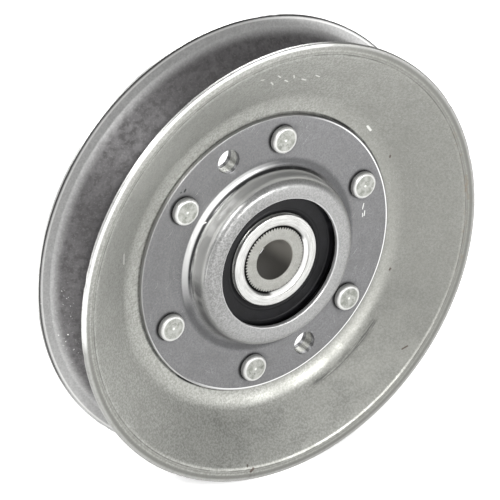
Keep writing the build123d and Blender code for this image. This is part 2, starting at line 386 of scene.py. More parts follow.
    def blend(self, amount, under, over, how="MIX"):
        node = self.nodes.new("ShaderNodeMix")
        node.data_type = "RGBA"
        node.blend_type = how
        return self.fill(node, {0: amount, 6: under, 7: over}).outputs[2]

    def tint(self, colour, rough=None):
        self.links.new(colour, self.shader.inputs["Base Color"])
        if rough is not None:
            self.links.new(rough, self.shader.inputs["Roughness"])

    def relief(self, height, strength, depth):
        node = self.nodes.new("ShaderNodeBump")
        self.fill(node, {"Height": height, "Strength": strength, "Distance": depth})
        self.links.new(node.outputs[0], self.shader.inputs["Normal"])


print("finish helpers ready")

# %% [markdown]
# ## Zinc on the flanges' outer faces
#
# The flanges wear a thin electroplated zinc that has gone dull. Up close it is a fine, even mottle of
# slightly olive grey with no direction to it, and a scatter of hairline scratches from the bin. Painted
# shade darkens the right side and the lip, a thin line of painted shade runs along the crease beside the
# lip, and a painted shadow lies in the gap beside the plate. The wide bend low on the right carries a dark
# scuff, the rim has a little brown staining, and its edge has a painted highlight on the upper left over
# faint bright flecks all round.

# %%
def flange_zinc():
    f = Finish("dull_zinc", 0.7, 0.42)
    grain = f.cloud(0.5 * MM, 5.0)
    patches = f.cloud(6 * MM, 5.0, None, 3.0)
    base = f.blend(f.ramp(grain, 0.36, 0.64), tone(138, 138, 133), tone(166, 167, 162))
    base = f.blend(f.ramp(patches, 0.42, 0.66, 0.0, 0.3), base, tone(138, 138, 133))
    base = f.blend(f.ramp(f.cloud(1.6 * MM, 4.0, None, 9.0), 0.56, 0.74, 0.0, 0.4), base, tone(172, 173, 168))
    # Painted shade: the right side of the face is darkened.
    base = f.blend(f.both(f.facing(355, 95), 0.6), base, tone(120, 120, 115))
    for k, (angle, length, width, level) in enumerate([(35, 9, 0.10, 0.68), (118, 6, 0.09, 0.69),
                                                       (70, 13, 0.12, 0.70), (160, 5, 0.08, 0.69)]):
        line = f.scratch(angle, length * MM, width * MM, level, 5.0 + 3 * k)
        base = f.blend(f.both(line, 0.6), base, tone(206, 207, 204) if k % 2 else tone(84, 84, 80))
    # Painted shade: a thin dark line along the crease beside the lip, and a fainter one just outside it.
    crease_shade = f.both(f.band(LIP_START, 0.05 * MM, 0.2 * MM), f.ramp(patches, 0.35, 0.6, 0.4, 0.9))
    base = f.blend(crease_shade, base, tone(92, 92, 88))
    base = f.blend(f.both(f.band(LIP_START + 0.5 * MM, 0.1 * MM, 0.3 * MM), 0.5), base, tone(98, 98, 94))
    smear = f.ramp(f.cloud(1.0, 3.0, f.polar(7, 3200), 21.0), 0.34, 0.66)
    low_right = f.ramp(f.facing(304, 19), 0.0, 0.5)
    scuff = f.both(f.both(low_right, f.band(42.5 * MM, 0.15 * MM, 0.9 * MM)), f.both(smear, f.front))
    base = f.blend(f.both(scuff, 0.75), base, tone(66, 66, 64))
    # Painted shadow in the gap between the flange and the plate's edge, on the upper right and lower left.
    seam = f.both(f.band(36.35 * MM, 0.12 * MM, 0.35 * MM), f.ramp(patches, 0.35, 0.6, 0.6, 1.0))
    seam_shadow_sides = f.maths("MAXIMUM", f.facing(42, 55), f.facing(232, 55))
    base = f.blend(f.both(seam, seam_shadow_sides), base, tone(24, 24, 24))
    base = f.marks(base, tone(228, 228, 224), 0.8, [
        (50.4, 96.8, 50.0, 95.6, 0.2), (47.9, 92.4, 46.8, 91.2, 0.24), (49.6, 90.8, 48.7, 89.6, 0.22),
        (47.2, 87.3, 46.5, 85.9, 0.24), (48.4, 85.0, 47.4, 84.2, 0.2), (46.6, 80.9, 46.1, 79.2, 0.26),
        (47.5, 76.6, 47.1, 75.0, 0.2), (43.5, 162.6, 42.4, 166.2, 0.34), (39.6, 41.2, 39.5, 38.8, 0.4)])
    base = f.marks(base, tone(74, 60, 54), 0.85, [
        (54.7, 259.2, 54.1, 259.8, 0.55), (56.4, 258.9, 55.8, 259.2, 0.45), (56.2, 260.3, 56.0, 260.5, 0.4),
        (53.4, 258.0, 53.1, 258.1, 0.3), (40.2, 24.0, 40.0, 23.4, 0.3), (40.5, 338.0, 40.4, 337.4, 0.3),
        (51.5, 318.0, 50.9, 316.4, 0.22)])
    stain = f.both(f.both(f.facing(2, 30), f.band(55.8 * MM, 1.0 * MM, 1.6 * MM)),
                   f.ramp(f.cloud(2.2 * MM, 5.0, None, 31.0), 0.5, 0.7))
    base = f.blend(f.both(stain, 0.6), base, tone(120, 103, 82))
    # Painted shade: the lip is darkened all round except on the upper left.
    lip = f.ramp(f.radius, 54.9 * MM, 55.6 * MM)
    shaded = f.maths("SUBTRACT", 0.85, f.both(f.facing(125, 70), 0.85))
    base = f.blend(f.both(lip, shaded), base, tone(106, 106, 102))
    # Painted highlight on the rim's edge on the upper left, over faint bright flecks all round.
    edge_highlight_side = f.maths("MAXIMUM", f.ramp(f.facing(131, 62), 0.0, 0.3), 0.25)
    flecks = f.ramp(f.cloud(1.1 * MM, 5.0, None, 41.0), 0.36, 0.5, 0.75, 1.0)
    rim_highlight_flecks = f.both(f.ramp(f.radius, 55.9 * MM, 56.6 * MM), f.both(edge_highlight_side, flecks))
    base = f.blend(rim_highlight_flecks, base, tone(238, 238, 236))
    f.tint(base, f.ramp(patches, 0.3, 0.7, 0.36, 0.46))
    f.relief(f.maths("ADD", grain, f.both(patches, 0.6)), 0.35, 0.06 * MM)
    return f.material


FLANGE_ZINC = flange_zinc()
print("made", FLANGE_ZINC.name)

# %% [markdown]
# ## Rubbed zinc inside the groove
#
# The belt's flanks have polished and soiled the groove. Bands run round the axis, with fine marks across
# them where the press drew the steel down the cone. Painted shade darkens the groove towards its floor,
# and painted light makes the metal paler near the mouth, which has a few bright chips. The rim's edge
# carries a thin painted highlight, and painted shade over its upper-left half.

# %%
def groove_zinc():
    f = Finish("rubbed_zinc", 0.3, 0.56)
    bands = f.cloud(1.0, 5.0, f.polar(9, 420))
    marks = f.cloud(1.0, 5.0, f.polar(46, 160), 4.0)
    mottle = f.cloud(1.7 * MM, 7.0, None, 8.0)
    fine = f.cloud(0.5 * MM, 5.0, None, 5.0)
    base = f.blend(f.ramp(bands, 0.36, 0.66), tone(93, 91, 92), tone(108, 106, 107))
    base = f.blend(f.ramp(marks, 0.46, 0.66, 0.0, 0.4), base, tone(92, 90, 91))
    base = f.blend(f.ramp(mottle, 0.44, 0.62, 0.0, 0.7), base, tone(78, 76, 76))
    base = f.blend(f.ramp(fine, 0.5, 0.66, 0.0, 0.35), base, tone(132, 131, 131))
    # Painted light: the groove turns paler towards its mouth, keeping a fine mottle.
    lip = f.ramp(f.radius, 51.8 * MM, 54.8 * MM)
    mouth_light = f.blend(f.ramp(fine, 0.35, 0.65), tone(186, 186, 185), tone(204, 204, 203))
    base = f.blend(f.both(lip, 0.9), base, mouth_light)
    chips = f.both(f.both(f.facing(188, 16), f.ramp(f.radius, 49 * MM, 51 * MM)),
                   f.ramp(f.cloud(0.8 * MM, 3.0, None, 13.0), 0.66, 0.7))
    base = f.blend(chips, base, tone(244, 244, 242))
    base = f.marks(base, tone(240, 240, 238), 0.9, [(55.0, 180.8, 54.2, 182.6, 0.4)])
    # Painted highlight: a thin bright line round the rim's edge.
    edge = f.band(56.4 * MM, 0.08 * MM, 0.25 * MM)
    base = f.blend(edge, base, tone(232, 232, 230))
    # Painted shade on the outermost edge over its upper-left half.
    rim_edge_shade = f.both(f.ramp(f.radius, 56.7 * MM, 56.9 * MM), f.ramp(f.facing(125, 100), 0.0, 0.3))
    base = f.blend(rim_edge_shade, base, tone(70, 69, 69))
    # Painted shade: the groove darkens towards its floor.
    base = f.blend(f.ramp(f.radius, 38 * MM, 43 * MM, 0.7, 0.0), base, tone(60, 58, 60))
    f.tint(base, f.ramp(mottle, 0.3, 0.7, 0.36, 0.56))
    f.relief(f.maths("ADD", f.both(bands, 0.6), marks), 0.3, 0.06 * MM)
    return f.material


GROOVE_ZINC = groove_zinc()
print("made", GROOVE_ZINC.name)

# %% [markdown]
# ## Smoother zinc on the plates
#
# The plates were drawn deeper than the flanges, so their surface is burnished by the die: a more neutral
# grey, smoother, with faint rings where the punch slid. Painted highlights lie along the plate's edge and
# the lip of the cup, painted shade and highlights lie where the cup rises from the flat, painted shade and
# shadow surround the rivet heads, and painted shade darkens the upper-left side and parts of the edge.

# %%
def plate_zinc():
    f = Finish("burnished_zinc", 0.68, 0.4)
    grain = f.cloud(0.45 * MM, 4.0, None, 2.0)
    cloudy = f.cloud(4.5 * MM, 5.0, None, 6.0)
    rings = f.cloud(1.0, 3.0, f.polar(1.6, 1500), 7.0)
    base = f.blend(f.ramp(grain, 0.3, 0.7), tone(104, 104, 105), tone(124, 124, 125))
    base = f.blend(f.ramp(cloudy, 0.42, 0.66, 0.0, 0.4), base, tone(100, 100, 100))
    # Painted shade: the plate's upper-left side is darkened.
    base = f.blend(f.both(f.facing(138, 75), 0.4), base, tone(90, 90, 90))
    cup = f.ramp(f.radius, 21.6 * MM, 23.4 * MM, 1.0, 0.0)
    base = f.blend(f.both(cup, f.ramp(grain, 0.35, 0.65, 0.55, 1.0)), base, tone(154, 154, 153))
    # The cup's top is darker and grainier on its left side.
    top = f.both(f.ramp(f.radius, 20.6 * MM, 21.2 * MM, 1.0, 0.0), f.facing(160, 80))
    cup_top_tone = f.blend(f.ramp(grain, 0.4, 0.6), tone(112, 112, 111), tone(146, 146, 145))
    base = f.blend(f.both(top, 0.7), base, cup_top_tone)
    base = f.blend(f.ramp(rings, 0.5, 0.66, 0.0, 0.06), base, tone(158, 158, 158))
    hairlines = [(48, 8, 0.08, 0.72), (140, 6, 0.08, 0.72), (95, 10, 0.09, 0.73)]
    for k, (angle, length, width, level) in enumerate(hairlines):
        line = f.scratch(angle, length * MM, width * MM, level, 50.0 + 4 * k)
        base = f.blend(f.both(line, 0.6), base, tone(224, 225, 224))
    # Painted shade on the flat beside the cup's root, away from the upper left.
    near = f.facing(140, 62)
    shy = f.maths("SUBTRACT", 1.0, near)
    base = f.blend(f.both(f.both(f.band(24.3 * MM, 0.3 * MM, 1.3 * MM), shy), 0.6), base, tone(52, 52, 54))
    # Painted highlight on the cup's root bend on the upper left.
    root_highlight = f.both(f.band(23.85 * MM, 0.65 * MM, 0.45 * MM), near)
    base = f.blend(f.both(root_highlight, 0.9), base, tone(206, 206, 205))
    # Painted shade: a thin black line at the foot of the cup's wall over its upper-left half, broken by cloud
    # noise.
    root_shade_line = f.both(f.both(f.band(22.75 * MM, 0.22 * MM, 0.3 * MM), f.ramp(f.facing(118, 92), 0.1, 0.5)),
                  f.ramp(cloudy, 0.3, 0.5, 0.7, 1.0))
    base = f.blend(f.both(root_shade_line, 0.9), base, tone(30, 30, 31))
    # Painted highlight up the cup's wall on the upper left.
    wall_highlight = f.both(f.band(22.0 * MM, 0.25 * MM, 0.3 * MM), f.ramp(f.facing(110, 85), 0.05, 0.4))
    base = f.blend(f.both(wall_highlight, 0.85), base, tone(214, 214, 212))
    # Painted highlight on the cup's wall and shoulder on the upper left, broken into streaks that run round
    # the cup.
    drawn = f.ramp(f.cloud(1.0, 4.0, f.polar(2.4, 2400), 17.0), 0.46, 0.58)
    streaks = f.both(f.both(f.band(21.9 * MM, 0.5 * MM, 0.3 * MM), f.facing(150, 60)), drawn)
    base = f.blend(streaks, base, tone(238, 238, 236))
    # Painted shade round each rivet head, broken by cloud noise.
    away = f.from_rivet()
    rivet_shade = f.both(f.ramp(away, 3.5 * MM, 5.2 * MM, 0.45, 0.0), f.ramp(cloudy, 0.4, 0.6, 0.5, 1.0))
    base = f.blend(rivet_shade, base, tone(70, 70, 72))
    # Painted contact shadow: a dark ring hugging each rivet head.
    base = f.blend(f.ramp(away, 3.4 * MM, 3.7 * MM, 0.9, 0.0), base, tone(24, 24, 25))
    # Painted shadow: a black crescent off the upper-left side of each rivet head.
    rivet_shadow_offset = f.from_rivet(spot(0.55 * MM, 146))
    base = f.blend(f.ramp(rivet_shadow_offset, 3.35 * MM, 4.1 * MM, 0.96, 0.0), base, tone(12, 12, 13))
    base = f.marks(base, tone(232, 232, 230), 0.85, [
        (23.9, 146.0, 22.9, 141.8, 0.2), (24.5, 151.5, 24.1, 155.0, 0.16), (29.2, 11.2, 28.6, 8.6, 0.18),
        (29.2, 7.0, 28.9, 4.6, 0.2), (28.5, 6.2, 28.4, 4.4, 0.16)])
    base = f.marks(base, tone(26, 26, 26), 0.95, [
        (33.5, 134.9, 33.6, 134.0, 0.32), (34.2, 136.2, 34.2, 135.9, 0.22)])
    lit_side = f.maths("MAXIMUM", f.facing(0, 88), f.facing(290, 75))
    # Painted shade on the plate's edge on the upper right and lower left.
    plate_edge_shade = f.maths("MAXIMUM", f.facing(42, 60), f.facing(232, 55))
    plate_edge_shade = f.both(f.ramp(f.radius, 35.8 * MM, 36.0 * MM), f.both(plate_edge_shade, 0.85))
    base = f.blend(plate_edge_shade, base, tone(60, 60, 60))
    # Painted highlight: a bright line along the plate's rounded edge on the right and lower right.
    plate_edge_highlight = f.both(f.band(35.62 * MM, 0.06 * MM, 0.16 * MM), f.ramp(lit_side, 0.1, 0.9))
    base = f.blend(f.both(plate_edge_highlight, 0.95), base, tone(244, 244, 243))
    # Painted highlight on the plate's edge at the lower left, and painted light lifting the edge on the upper
    # left.
    edge = f.ramp(f.radius, 35.7 * MM, 35.9 * MM)
    base = f.blend(f.both(edge, f.facing(232, 60)), base, tone(200, 200, 199))
    base = f.blend(f.both(edge, f.ramp(f.facing(135, 75), 0.0, 0.4)), base, tone(146, 146, 145))
    # Painted highlight on the inner edge of the cup's lip.
    base = f.blend(f.ramp(f.radius, 16.9 * MM, 17.15 * MM, 0.8, 0.0), base, tone(224, 224, 224))
    f.tint(base, f.ramp(cloudy, 0.3, 0.7, 0.32, 0.46))
    f.relief(f.maths("ADD", grain, f.both(cloudy, 0.7)), 0.22, 0.05 * MM)
    return f.material


PLATE_ZINC = plate_zinc()
print("made", PLATE_ZINC.name)

# %% [markdown]
# ## Rivets, ground rings, bush, rubber and the hidden pieces
#
# Rivet heads are pressed flat by the setting tool, which leaves patchy grey and olive marks, and painted
# highlights lie on their rounded edges and middle pips. The rings are ground and nearly white, with
# painted shade in the inner ring's bore corner, beside the bush and under the cup's lip, and a painted
# highlight on the bore's corner low on the right. The bush is sintered or turned mild steel with a dull
# warm grey face; painted shade darkens its bore and knurl valleys, and painted light its bore's upper-right
# wall. The seal is soft black rubber that holds dust. Balls are polished, and the cage and the seal's
# washer are thin pressed steel.

# %%
def rivet_metal():
    f = Finish("set_rivet", 0.6, 0.42)
    patchy = f.cloud(1.5 * MM, 4.0, None, 1.0)
    fine = f.cloud(0.35 * MM, 4.0, None, 2.5)
    away = f.from_rivet()
    base = f.blend(f.ramp(patchy, 0.36, 0.62), tone(126, 128, 121), tone(160, 161, 156))
    base = f.blend(f.ramp(fine, 0.5, 0.7, 0.0, 0.5), base, tone(174, 175, 171))
    base = f.blend(f.ramp(f.cloud(1.0 * MM, 3.0, None, 7.7), 0.6, 0.68, 0.0, 0.6), base, tone(92, 95, 88))
    # Painted highlights: the rounded edge of each head is lightened all round, and its middle pip carries a
    # bright spot.
    base = f.blend(f.ramp(away, 2.5 * MM, 2.9 * MM, 0.0, 0.8), base, tone(214, 214, 212))
    base = f.blend(f.ramp(away, 0.18 * MM, 0.42 * MM, 0.85, 0.0), base, tone(226, 228, 222))
    f.tint(base, f.ramp(patchy, 0.3, 0.7, 0.34, 0.5))
    f.relief(f.maths("ADD", patchy, f.both(fine, 0.5)), 0.4, 0.08 * MM)
    return f.material


def ground_steel():
    f = Finish("ground_steel", 0.8, 0.3)
    rings = f.cloud(1.0, 3.0, f.polar(3.0, 4000), 1.0)
    haze = f.cloud(1.6 * MM, 4.0, None, 5.0)
    base = f.blend(f.ramp(rings, 0.35, 0.65), tone(184, 184, 181), tone(206, 206, 204))
    base = f.blend(f.ramp(haze, 0.5, 0.7, 0.0, 0.3), base, tone(172, 172, 169))
    # Painted shade in the bore's corner beside the bush, except low on the right.
    mouth = f.ramp(f.radius, 8.75 * MM, 9.3 * MM, 0.97, 0.0)
    turned_away = f.maths("SUBTRACT", 1.0, f.ramp(f.facing(322, 62), 0.1, 0.4))
    base = f.blend(f.both(mouth, turned_away), base, tone(18, 17, 16))
    # Painted shade: a thin grey line between the bore's corner and the face, low on the right.
    grey_shade_line = f.both(f.band(9.75 * MM, 0.08 * MM, 0.14 * MM), f.facing(322, 70))
    base = f.blend(f.both(grey_shade_line, 0.8), base, tone(96, 95, 93))
    # Painted highlight: a bright crescent on the bore's corner low on the right, where the ring is also made
    # less metallic.
    corner = f.both(f.ramp(f.radius, 8.6 * MM, 8.75 * MM), f.ramp(f.radius, 9.3 * MM, 9.5 * MM, 1.0, 0.0))
    crescent_highlight = f.both(corner, f.ramp(f.facing(322, 75), 0.08, 0.4))
    base = f.blend(crescent_highlight, base, tone(232, 232, 230))
    f.links.new(f.ramp(crescent_highlight, 0.0, 1.0, 0.8, 0.1), f.shader.inputs["Metallic"])
    # Painted shade in the gap between the inner ring and the bush.
    base = f.blend(f.ramp(f.radius, 8.52 * MM, 8.64 * MM, 0.95, 0.0), base, tone(18, 17, 16))
    # Painted shade on the outer ring's side under the cup's lip.
    base = f.blend(f.band(17.4 * MM, 0.8 * MM, 0.2 * MM), base, tone(9, 9, 10))
    f.tint(base, f.ramp(rings, 0.3, 0.7, 0.26, 0.36))
    f.relief(rings, 0.1, 0.02 * MM)
    return f.material


def bush_metal():
    f = Finish("dull_bush_steel", 0.45, 0.52)
    fine = f.cloud(0.3 * MM, 4.0)
    wide = f.cloud(1.8 * MM, 4.0, None, 2.0)
    turning = f.cloud(1.0, 3.0, f.polar(2.0, 3000), 3.0)
    base = f.blend(f.ramp(fine, 0.3, 0.7), tone(138, 138, 133), tone(154, 154, 149))
    base = f.blend(f.ramp(wide, 0.42, 0.66, 0.0, 0.4), base, tone(128, 127, 122))
    base = f.blend(f.ramp(turning, 0.5, 0.7, 0.0, 0.25), base, tone(170, 169, 165))
    # Painted shade inside the bore, with painted light on its upper-right wall.
    base = f.blend(f.ramp(f.radius, 5.26 * MM, 5.34 * MM, 0.9, 0.0), base, tone(58, 55, 51))
    wall = f.both(f.ramp(f.radius, 5.24 * MM, 5.32 * MM, 1.0, 0.0), f.facing(38, 85))
    base = f.blend(wall, base, tone(140, 137, 130))
    # Painted shade: each knurl valley is blackened on the face, most strongly on the upper left.
    turn = f.maths("MULTIPLY", f.maths("ARCTAN2", f.parts[2], f.parts[0]), KNURL_TEETH / math.tau)
    valley = f.maths("MULTIPLY", f.maths("PINGPONG", turn, 0.5), 1.5 * MM)
    notch_shade = f.ramp(f.maths("ADD", f.radius, valley), 8.46 * MM, 8.6 * MM)
    base = f.blend(f.both(notch_shade, f.ramp(f.facing(150, 125), 0.0, 0.45, 0.25, 0.95)), base, tone(20, 19, 18))
    # Painted shade on the knurl's flanks just below the face.
    below = f.ramp(f.maths("ABSOLUTE", f.parts[1]), 5.33 * MM, 5.41 * MM, 1.0, 0.0)
    knurl = f.both(below, f.ramp(f.radius, 8.1 * MM, 8.16 * MM))
    base = f.blend(f.both(knurl, 0.95), base, tone(20, 19, 18))
    bore = f.ramp(f.radius, 5.3 * MM, 5.45 * MM, 1.0, 0.0)
    f.tint(base, f.maths("MAXIMUM", f.both(bore, 0.85), f.ramp(wide, 0.3, 0.7, 0.46, 0.58)))
    f.relief(f.maths("ADD", fine, f.both(turning, 0.5)), 0.25, 0.04 * MM)
    return f.material


def seal_rubber():
    f = Finish("black_rubber", 0.0, 0.46)
    dust = f.cloud(2.2 * MM, 6.0, None, 4.0)
    pores = f.cloud(0.25 * MM, 3.0)
    base = f.blend(f.ramp(dust, 0.4, 0.7), tone(9, 9, 11), tone(20, 20, 23))
    base = f.blend(f.ramp(pores, 0.58, 0.72, 0.0, 0.35), base, tone(52, 52, 56))
    base = f.blend(f.ramp(f.radius, 12.3 * MM, 13.1 * MM, 0.8, 0.0), base, tone(10, 10, 11))
    f.shader.inputs["Specular IOR Level"].default_value = 0.2
    f.tint(base, f.ramp(dust, 0.3, 0.7, 0.38, 0.55))
    f.relief(f.maths("ADD", pores, dust), 0.25, 0.05 * MM)
    return f.material


def thin_steel(name, low, high, roughness, size):
    f = Finish(name, 0.9, roughness)
    cloudy = f.cloud(size, 5.0, None, 6.0)
    streaks = f.cloud(1.0, 3.0, f.polar(4.0, 2500), 2.0)
    base = f.blend(f.ramp(cloudy, 0.35, 0.65), low, high)
    base = f.blend(f.ramp(streaks, 0.5, 0.7, 0.0, 0.3), base, tone(220, 220, 220))
    f.tint(base, f.ramp(cloudy, 0.3, 0.7, roughness * 0.85, roughness * 1.2))
    f.relief(cloudy, 0.12, 0.02 * MM)
    return f.material


RIVET_METAL = rivet_metal()
GROUND_STEEL = ground_steel()
BUSH_METAL = bush_metal()
SEAL_RUBBER = seal_rubber()
BALL_CHROME = thin_steel("polished_ball", tone(206, 206, 208), tone(232, 232, 234), 0.12, 2 * MM)
CAGE_STEEL = thin_steel("pressed_cage", tone(150, 149, 146), tone(182, 181, 177), 0.34, 1.5 * MM)
INSERT_STEEL = thin_steel("stiffener_steel", tone(140, 140, 138), tone(170, 170, 168), 0.42, 2 * MM)
print("finishes:", [m.name for m in bpy.data.materials])

# %% [markdown]
# ## The two flanges
#
# One flange is drawn from the flat web, round a wide bend and out along the cone to a lip that stands
# square to the axis. Inside, its web is drawn thinner into a seat cup round the bearing. The strip is
# sheared to size before it is pressed, so the rim's edge is never quite true: it waves, and it is nicked.

# %%
def rippled(bm, seed):
    """Small dents in the cone and a wavy, nicked rim, all inside the true size."""
    dice = random.Random(seed)
    nicks = [(dice.uniform(0, math.tau), dice.uniform(0.1, 0.3) * MM, dice.uniform(0.8, 2.0))
             for k in range(12)]
    shift = Vector((seed * 3.1, seed * 1.7, -seed * 2.3))
    for vert in bm.verts:
        radius = math.hypot(vert.co.x, vert.co.z)
        if radius < 37 * MM:
            continue
        out = Vector((vert.co.x / radius, 0, vert.co.z / radius))
        grow = min((radius - 37 * MM) / (6 * MM), 1)
        dent = noise.noise(vert.co * 70 + shift) * 0.08 * MM * grow
        vert.co.y -= math.copysign(max(0.05 * MM * grow + dent, 0), vert.co.y)
        if radius > 56.2 * MM:
            wave = 0.5 + 0.5 * noise.noise(out * 9 + shift)
            chatter = 0.5 + 0.5 * noise.noise(out * 55 + shift)
            inward = (0.05 * wave + 0.03 * chatter ** 2) * MM
            around = math.atan2(vert.co.z, vert.co.x) % math.tau
            for place, depth, width in nicks:
                gap = abs((around - place + math.pi) % math.tau - math.pi) * RIM_RADIUS / MM
                inward += depth * 0.5 * max(0, 1 - gap / width)
            share = (radius - 56.2 * MM) / (RIM_RADIUS - 56.2 * MM)
            vert.co -= out * inward * share


def flange_outline():
    """Closed section: seat cup on the inside, then web, bend, cone and lip."""
    wall = RING_RADIUS + FIT_GAP
    floor = RING_FACE + FIT_GAP
    lip = RIM_FACE - SHEET
    run = [(22.62 * MM, 0, 0), (GROOVE_FLOOR, 0, 10.2 * MM), (LIP_START, lip - LIP_RISE, 1.0 * MM),
           (RIM_RADIUS, lip, 0)]
    far = shifted(run, SHEET)
    outer_end = (far[-1][0], RIM_FACE, 0.35 * MM)
    cup = [(wall + SEAT_WALL, SHEET, 1.0 * MM), (wall + SEAT_WALL, floor + SEAT_WALL, 1.3 * MM),
           (18 * MM, floor + SEAT_WALL, 0), (18 * MM, floor, 0), (wall, floor, 0.5 * MM), (wall, 0, 1.8 * MM)]
    return run[1:-1] + [(RIM_RADIUS, lip, 0.35 * MM), outer_end] + far[-2:0:-1] + cup


def flange(name, front, seed):
    bm = spun(flange_outline(), 720, 7, 2.2 * MM)
    rippled(bm, seed)
    bm = punched(bm, 0.16 * MM)
    for face in bm.faces:
        middle = face.calc_center_median()
        if math.hypot(middle.x, middle.z) > 36.4 * MM and face.normal.y < -0.03 and middle.y > -1e-5:
            face.material_index = 1
    if front:
        turned_over(bm)
    finishes = [FLANGE_ZINC, GROOVE_ZINC]
    as_piece(bm, name, "pulley", [name.replace("pressed_", "")], finishes, 40)


flange("pressed_rear_flange", False, 4)
flange("pressed_front_flange", True, 11)

# %% [markdown]
# ## The two bearing plates
#
# Each plate lies flat on a flange, rises through a wide bend into a cup over the flange's seat, and turns
# in over the bearing's outer ring. That clamps the bearing between the two cups. The plate's cut edge is
# eased, and its flat is never dead flat after the rivets are set.

# %%
def plate(name, front, seed):
    wall = RING_RADIUS + SEAT_WALL + 2 * FIT_GAP
    top = RING_FACE + SEAT_WALL + 2 * FIT_GAP
    run = [(CUP_OPENING, top, 0), (wall, top, 1.24 * MM), (wall, SHEET, 3.25 * MM), (PLATE_RADIUS, SHEET, 0)]
    bm = spun(sheet_outline(run, SHEET, 0.3 * MM), 384, 9, 1.6 * MM)
    shift = Vector((seed, -seed * 0.4, seed * 1.9))
    for vert in bm.verts:
        radius = math.hypot(vert.co.x, vert.co.z)
        out = Vector((vert.co.x / radius, 0, vert.co.z / radius))
        if radius > 35.6 * MM:
            vert.co -= out * (0.06 + 0.06 * noise.noise(out * 8 + shift)) * MM
        if radius < 17.2 * MM:
            vert.co += out * (0.04 + 0.04 * noise.noise(out * 6 + shift)) * MM
        if vert.co.y > 1.9 * MM:
            vert.co.y -= (0.02 + 0.02 * noise.noise(vert.co * 180 + shift)) * MM
    bm = punched(bm, 0.16 * MM)
    if front:
        turned_over(bm)
    as_piece(bm, name, "pulley", [name.replace("drawn_", "")], [PLATE_ZINC], 40)


plate("drawn_rear_bearing_plate", False, 3)
plate("drawn_front_bearing_plate", True, 8)

# %% [markdown]
# ## Six rivets
#
# Solid rivets are upset cold, so each head spreads a little differently and its flat carries the tool's
# marks, with a small raised pip at the middle. Each one is dented from its own seed and then moved out to
# its hole.

# %%
def rivet(number, angle):
    face = 2 * SHEET
    top = face + RIVET_RISE
    outline = [(0, -top, 0), (RIVET_HEAD, -top, 0.6 * MM), (RIVET_HEAD, -face, 0), (RIVET_SHANK, -face, 0),
               (RIVET_SHANK, face, 0), (RIVET_HEAD, face, 0), (RIVET_HEAD, top, 0.6 * MM), (0, top, 0)]
    bm = spun(outline, 96, 8, 0.28 * MM, solid_core=True)
    shift = Vector((number * 5.3, number * 2.9, -number * 4.1))
    for vert in bm.verts:
        radius = math.hypot(vert.co.x, vert.co.z)
        height = abs(vert.co.y)
        if height > face + 0.02 * MM and radius > 1e-6:
            out = Vector((vert.co.x / radius, 0, vert.co.z / radius))
            edge = max(radius - 1.6 * MM, 0) / (1.8 * MM)
            vert.co -= out * (0.02 + 0.02 * noise.noise(out * 1.6 + shift)) * MM * edge
        if height > face + 0.7 * MM:
            dent = 0.04 + 0.06 * noise.noise(vert.co * 520 + shift)
            dent += 0.03 * noise.noise(vert.co * 1500 + shift)
            pip = 0.09 * math.exp(-((radius / (0.32 * MM)) ** 2))
            vert.co.y -= math.copysign(max(dent - pip, 0) * MM, vert.co.y)
    bmesh.ops.translate(bm, vec=spot(RIVET_CIRCLE, angle), verts=bm.verts)
    as_piece(bm, f"set_rivet_{number}", "pulley", [f"rivet_{number}"], [RIVET_METAL], 50)


for k, angle in enumerate(RIVET_ANGLES):
    rivet(k + 1, angle)

# %% [markdown]
# ## The bearing's rings and seals
#
# The inner ring's bore has a large ground radius, which catches the light as a bright crescent beside the
# bush, strengthened by a painted highlight. Its rim has a groove for the seal's lip. The seal is moulded
# rubber on a washer: a bead held in the outer ring, a flat web, a shallow moulded step, and a thin lip
# that runs in the groove.

# %%
def inner_ring():
    half = [(12.1, 3.9, 0), (11.9, 3.9, 0), (11.9, 4.55, 0.1), (11.5, 4.55, 0.1), (11.5, 5.35, 0.1),
            (11.9, 5.35, 0.1), (11.9, 6.0, 0.25), (8.5, 6.0, 1.4)]
    race = [(12.1, -3.0, 0), (10.95, -1.55, 0.4), (10.86, 0, 2.2), (10.95, 1.55, 0.4), (12.1, 3.0, 0)]
    lower = [(r, -y, b) for r, y, b in reversed(half)]
    outline = [(r * MM, y * MM, b * MM) for r, y, b in race + half + lower]
    bm = spun(outline, 256, 8)
    as_piece(bm, "ground_inner_ring", "hub", ["bearing_inner_ring"], [GROUND_STEEL], 40)


def outer_ring():
    half = [(16.5, 4.25, 0.1), (17.6, 4.25, 0), (17.6, 5.37, 0), (17.3, 5.37, 0.1), (17.3, 6.0, 0.1),
            (20.0, 6.0, 1.0)]
    race = [(16.5, -3.0, 0), (17.55, -1.55, 0.4), (17.64, 0, 2.2), (17.55, 1.55, 0.4), (16.5, 3.0, 0)]
    lower = [(r, -y, b) for r, y, b in reversed(half)]
    outline = [(r * MM, y * MM, b * MM) for r, y, b in race + half + lower]
    bm = spun(outline, 256, 6)
    as_piece(bm, "ground_outer_ring", "pulley", ["bearing_outer_ring"], [GROUND_STEEL], 40)


def seal(side, front):
    outline = [(12.08, 4.62, 0.05), (13.2, 4.62, 0), (16.6, 4.62, 0), (16.6, 4.3, 0), (17.58, 4.3, 0.1),
               (17.58, 5.33, 0.2), (16.2, 5.33, 0.1), (15.9, 5.2, 0.1), (13.5, 5.2, 0.15), (13.2, 5.31, 0.1),
               (12.9, 5.31, 0.12), (12.15, 4.92, 0.08), (12.0, 4.92, 0.05)]
    bm = spun([(r * MM, y * MM, b * MM) for r, y, b in outline], 256, 4)
    if front:
        turned_over(bm)
    node = f"{side}_seal_rubber"
    as_piece(bm, f"moulded_{side}_seal", "pulley", [node], [SEAL_RUBBER], 40)


inner_ring()
outer_ring()
seal("front", True)
seal("rear", False)

